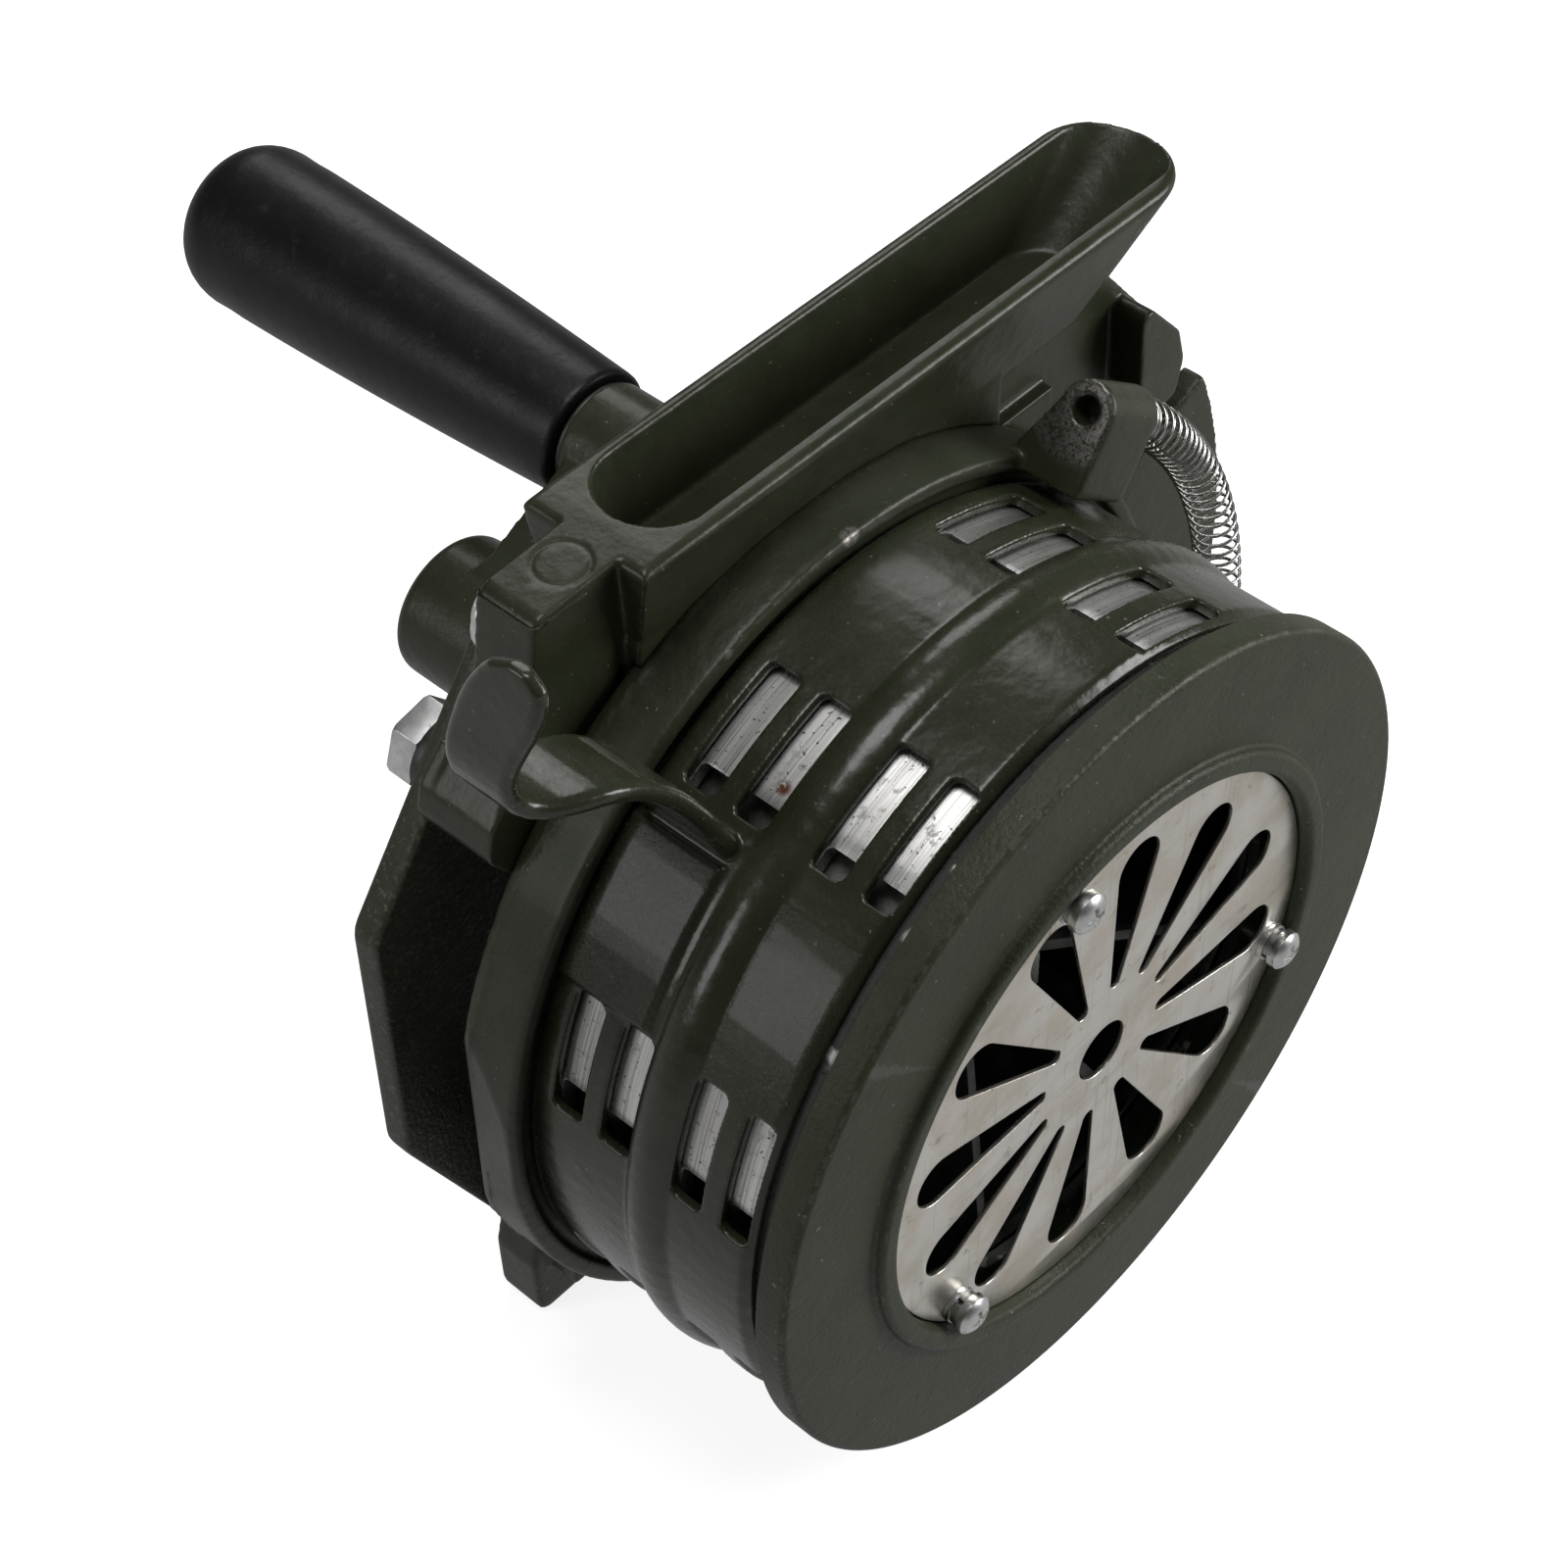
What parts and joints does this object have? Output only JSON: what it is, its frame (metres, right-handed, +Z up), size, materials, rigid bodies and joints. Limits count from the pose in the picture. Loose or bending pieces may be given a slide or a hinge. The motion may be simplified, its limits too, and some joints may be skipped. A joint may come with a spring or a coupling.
{
  "type": "hand crank siren",
  "caption": "Hand crank air raid siren: cast drum with sprung shutter sleeve and thumb lever, finger tray handle, geared crank with a long black grip.",
  "frame": {"origin": "on the drum axis, in the plane where the front cover meets the drum", "axes": "+Y along the drum axis towards the crank at the rear, +Z up when the siren stands on its two feet and the cover's rim, +X to the right of someone who looks at the front cover"},
  "size_m": [0.1888, 0.1982, 0.1939],
  "materials": {
    "green_paint": "satin olive paint on rough aluminium castings",
    "bare_aluminium": "turned, with fine lathe lines",
    "cast_aluminium": "as cast",
    "stainless_sheet": "thin sheet, brushed and stained",
    "zinc_steel": "bright zinc plating",
    "gear_steel": "machined and oiled",
    "spring_wire": "bright plated wire",
    "bronze": "turned bearing bronze",
    "black_rubber": "smooth satin"
  },
  "bodies": {
    "housing": {"front_cover": "green_paint", "intake_grille": "stainless_sheet", "grille_screws": "zinc_steel", "grille_spring_washers": "zinc_steel", "grille_spacers": "zinc_steel", "cover_screws": "zinc_steel", "stator_drum": "bare_aluminium", "drum_screws": "zinc_steel", "rear_housing": "green_paint", "carry_handle": "green_paint", "strap_washer": "zinc_steel", "strap_screw": "zinc_steel", "rear_plate": "green_paint", "plate_bolts": "zinc_steel", "plate_bolt_washers": "gear_steel", "rotor_bearing_front": "gear_steel", "rotor_bearing_rear": "gear_steel", "idler_pin": "gear_steel", "crank_bush": "bronze", "return_spring": "spring_wire"},
    "shutter": {"shutter_sleeve": "green_paint"},
    "rotor": {"rotor": "cast_aluminium", "rotor_shaft": "gear_steel", "rotor_washer": "zinc_steel", "rotor_nut": "zinc_steel", "rotor_pinion": "gear_steel"},
    "idler": {"idler_wheel": "gear_steel", "idler_pinion": "gear_steel"},
    "crank": {"crank_wheel": "gear_steel", "crank_shaft": "gear_steel", "crank_arm": "green_paint", "crank_screw": "zinc_steel", "grip_spindle": "gear_steel", "grip_washer": "zinc_steel"},
    "grip": {"hand_grip": "black_rubber", "grip_cap": "black_rubber"}
  },
  "joints": [
    {"name": "shutter_turn", "type": "hinge", "parent": "housing", "child": "shutter", "pos_m": [0, 0, 0], "axis": [0, -1, 0], "range_deg": [0, 14], "stiffness_Nm_per_rad": 7.3, "springref_deg": -6.7, "deforming": ["return_spring"]},
    {"name": "rotor_spin", "type": "hinge", "parent": "housing", "child": "rotor", "pos_m": [0, 0, 0], "axis": [0, 1, 0], "continuous": true},
    {"name": "idler_spin", "type": "hinge", "parent": "housing", "child": "idler", "pos_m": [-0.00429, 0, 0.03574], "axis": [0, 1, 0], "continuous": true},
    {"name": "crank_turn", "type": "hinge", "parent": "housing", "child": "crank", "pos_m": [-0.02688, 0, 0.04384], "axis": [0, 1, 0], "continuous": true},
    {"name": "grip_spin", "type": "hinge", "parent": "crank", "child": "grip", "pos_m": [-0.00026, 0, 0.06578], "axis": [0, 1, 0], "continuous": true}
  ],
  "couplings": [
    {"joint": "idler_spin", "follows": "rotor_spin", "ratio": -0.2},
    {"joint": "crank_turn", "follows": "rotor_spin", "ratio": 0.066667}
  ]
}
